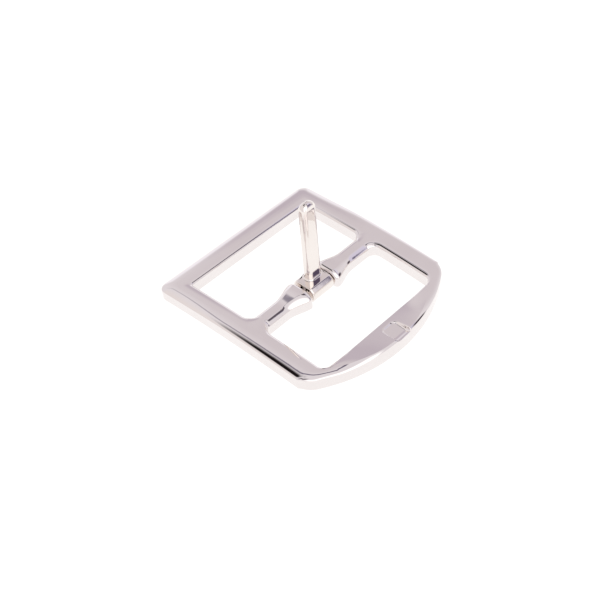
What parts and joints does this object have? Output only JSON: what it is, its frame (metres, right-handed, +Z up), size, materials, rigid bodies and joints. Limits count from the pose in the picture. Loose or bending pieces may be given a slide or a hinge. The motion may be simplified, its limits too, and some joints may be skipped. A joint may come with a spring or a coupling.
{
  "type": "centre-bar buckle",
  "caption": "Centre-bar strap buckle: a plated cast frame with a bowed front bar, and a tongue that turns on the bar.",
  "frame": {"origin": "centre of the footprint, at the level that the heel and the front rest on", "axes": "+X from the heel bar to the bowed front bar, +Y across the strap, along the centre bar, +Z up, out of the side that the strap's free end passes over"},
  "size_m": [0.0552, 0.05, 0.0272],
  "materials": {
    "frame_plating": "bright nickel-chrome plating over a polished zinc casting",
    "tongue_plating": "bright nickel-chrome plating over a polished zinc casting"
  },
  "bodies": {
    "frame": {"frame": "frame_plating"},
    "tongue": {"tongue": "tongue_plating"}
  },
  "joints": [
    {"name": "tongue_hinge", "type": "hinge", "parent": "frame", "child": "tongue", "pos_m": [0.00028, 0, 0.0036], "axis": [0, 1, 0], "range_deg": [-84, 88]}
  ]
}
